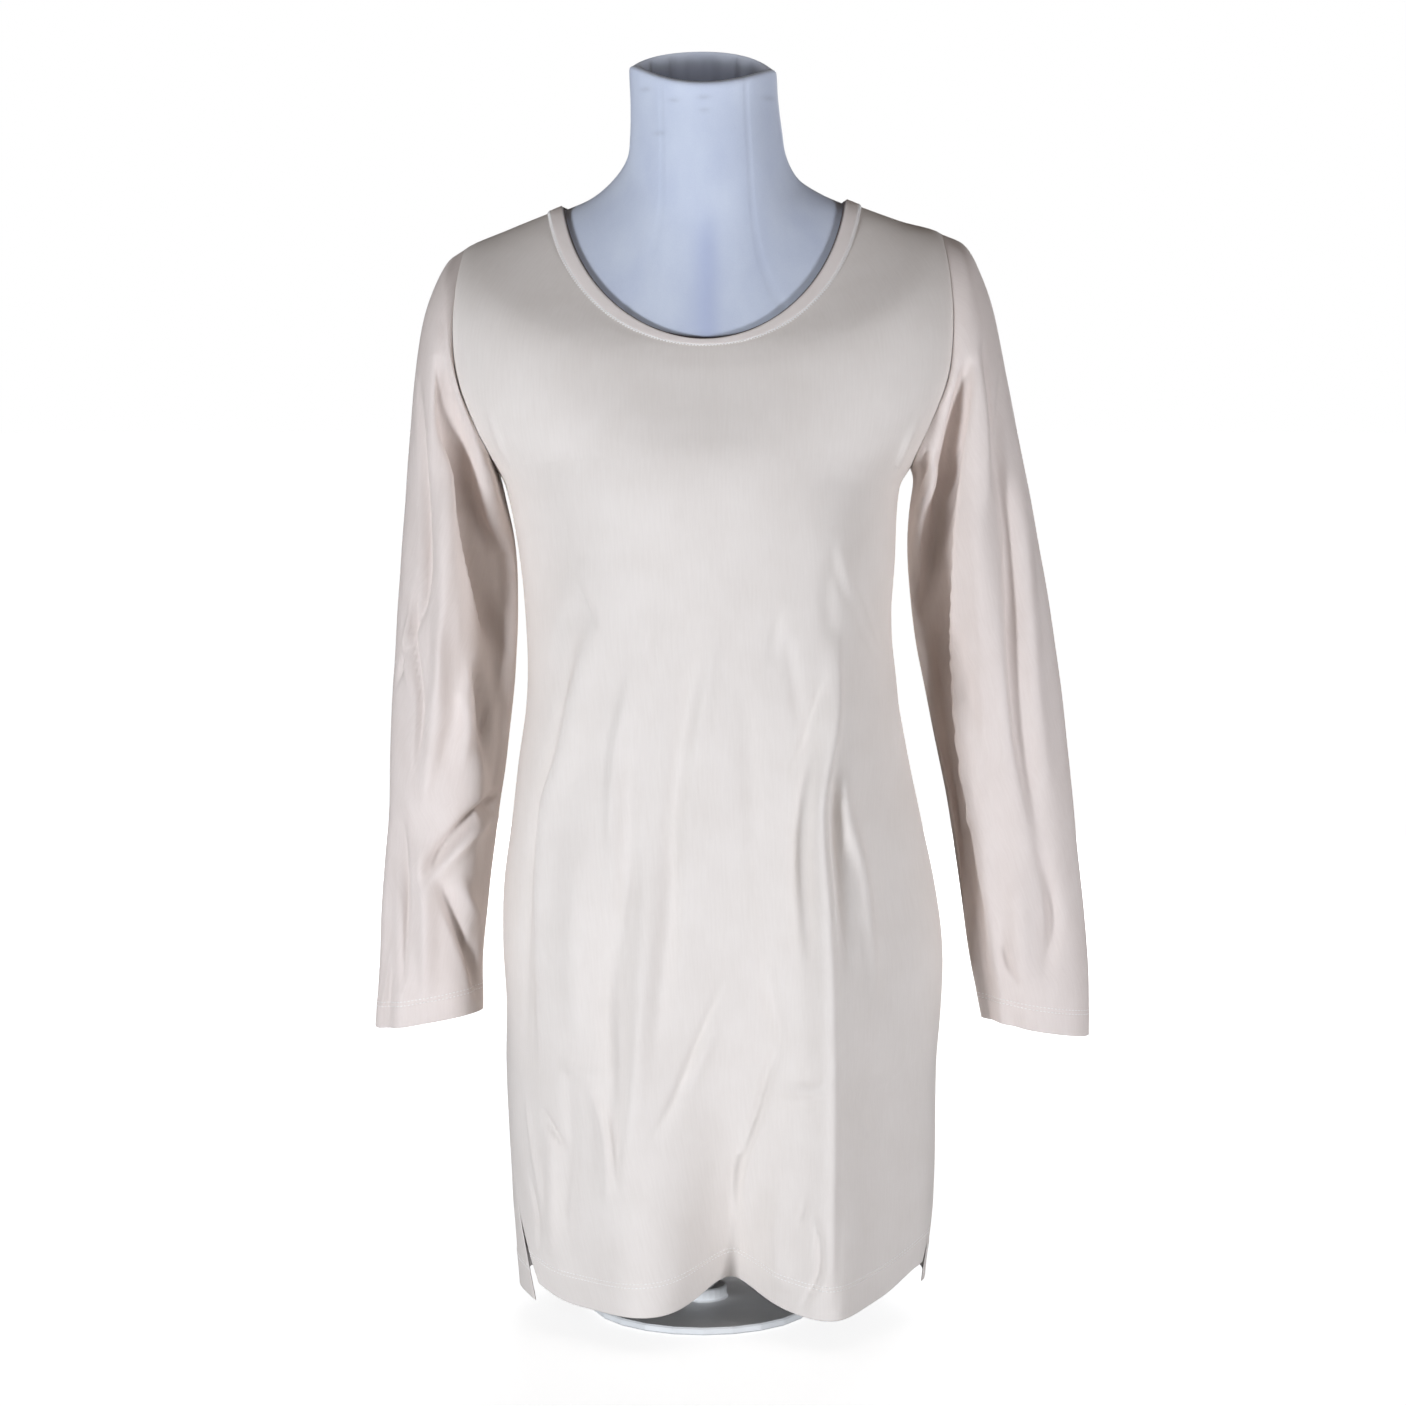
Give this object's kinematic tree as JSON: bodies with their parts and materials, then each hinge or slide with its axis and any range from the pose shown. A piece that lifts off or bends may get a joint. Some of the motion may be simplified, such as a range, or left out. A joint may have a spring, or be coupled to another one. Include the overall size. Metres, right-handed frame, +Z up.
{
  "type": "tunic top on a dress form",
  "caption": "Long-sleeved jersey tunic top with a bound scoop neck and side slits, worn by a limbless dress form on a low round stand.",
  "frame": {"origin": "centre of the base plate's underside, on the floor", "axes": "+Z up; -Y is the garment's front; +X is on the right of someone who looks at the front"},
  "size_m": [0.5604, 0.2583, 0.9906],
  "materials": {
    "jersey": "fine single jersey, matte with a slight sheen",
    "form_cover": "smooth stretch cover, matte",
    "steel": "brushed",
    "white_paint": "satin white paint"
  },
  "bodies": {
    "root": {"front_panel": "jersey", "back_panel": "jersey", "sleeve_left": "jersey", "sleeve_right": "jersey", "neck_band": "jersey", "form": "form_cover", "form_socket": "steel", "post": "steel", "base_plate": "white_paint"}
  },
  "joints": []
}
